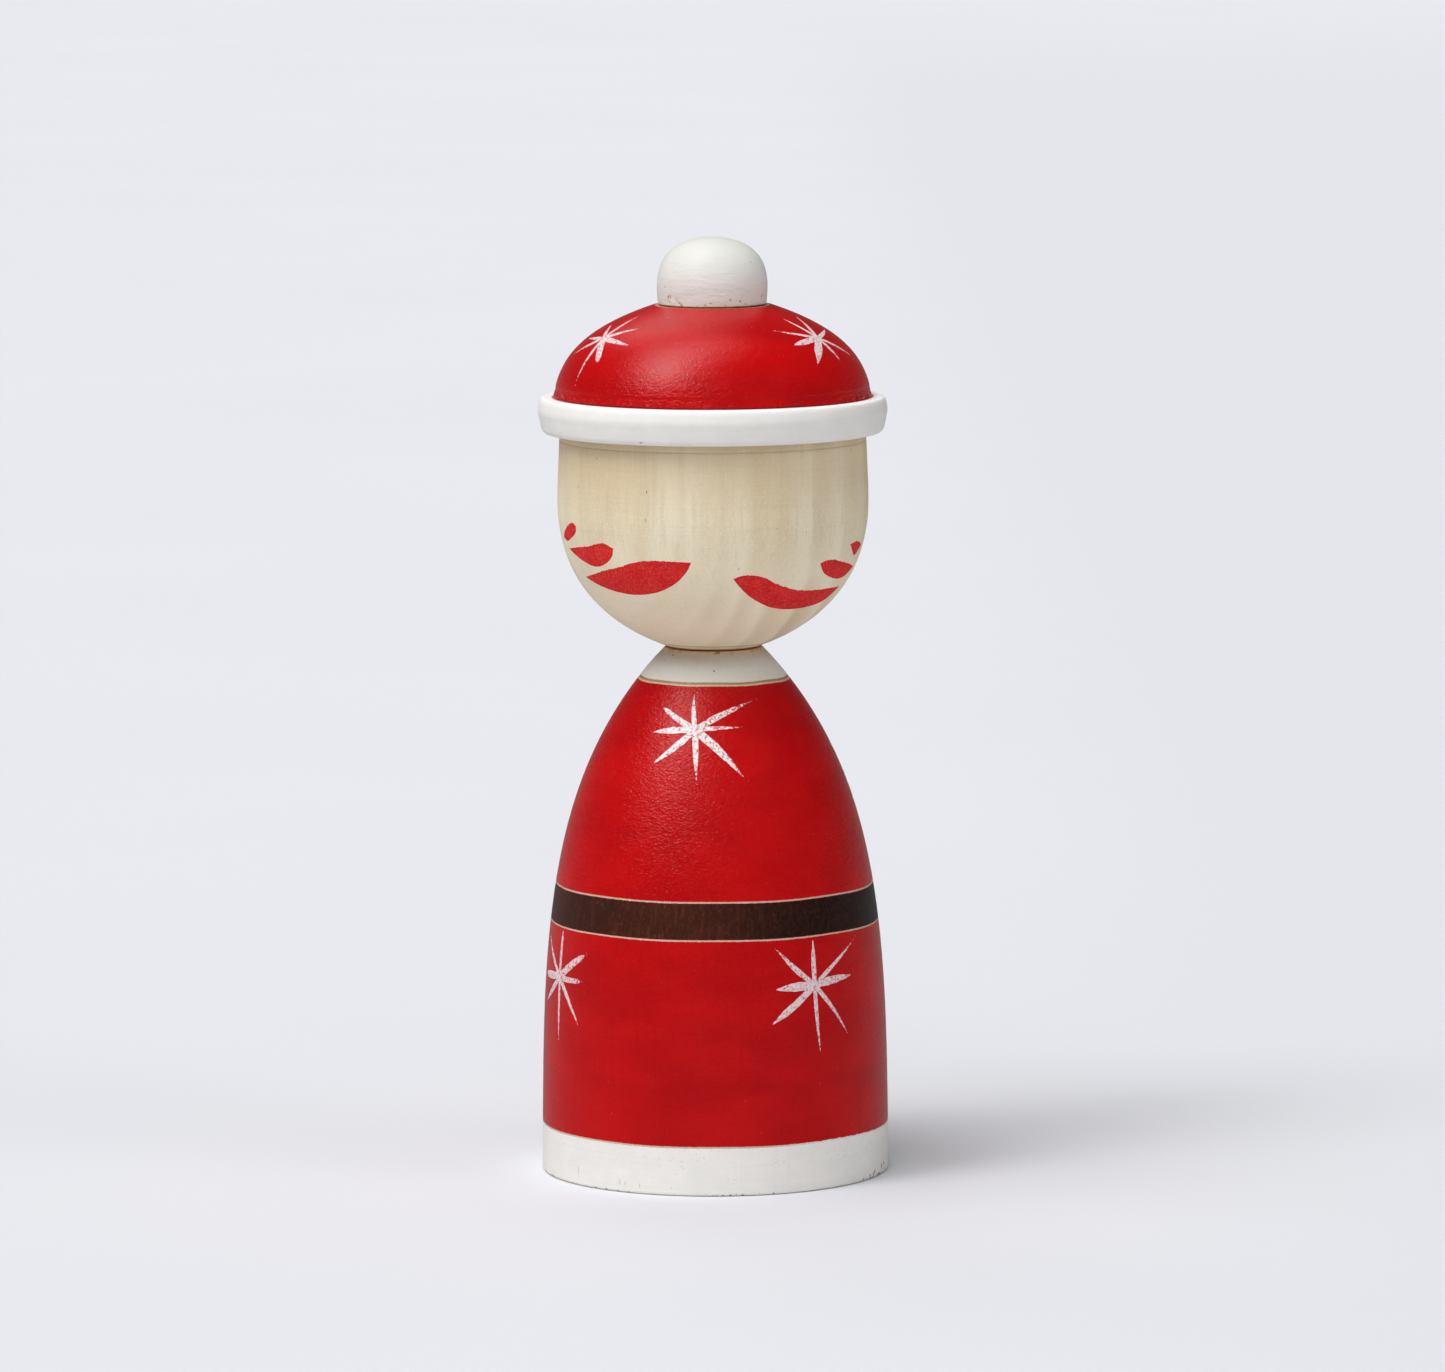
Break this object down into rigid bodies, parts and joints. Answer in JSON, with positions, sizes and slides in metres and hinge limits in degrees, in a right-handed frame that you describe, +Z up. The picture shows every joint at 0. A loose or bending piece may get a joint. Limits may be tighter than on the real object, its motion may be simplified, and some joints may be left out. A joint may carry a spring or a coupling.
{
  "type": "kokeshi doll",
  "caption": "Turned wooden doll with a bell-shaped body, and a hatted head that turns on a snap-fitted neck dowel; it stands on its flat foot.",
  "frame": {"origin": "centre of the foot's flat underside", "axes": "+Z up the doll's turning axis; the painted face looks towards -Y, and +X is to the viewer's right"},
  "size_m": [0.0448, 0.0448, 0.12],
  "materials": {
    "robe_paint": "satin red paint on turned wood, with a dark brown belt and white hem and collar",
    "hat_paint": "satin red paint on turned wood",
    "white_paint": "matt white paint on turned wood, with small chips",
    "bare_wood": "bare pale wood, sanded on the lathe, with red brush strokes",
    "dowel_wood": "bare turned dowel"
  },
  "bodies": {
    "trunk": {"body": "robe_paint"},
    "head": {"head": "bare_wood", "neck_dowel": "dowel_wood", "hat_brim": "white_paint", "hat_crown": "hat_paint", "hat_bobble": "white_paint", "hat_dowel": "dowel_wood"}
  },
  "joints": [
    {"name": "head_turn", "type": "hinge", "parent": "trunk", "child": "head", "pos_m": [0, 0, 0.06755], "axis": [0, 0, 1], "continuous": true}
  ]
}
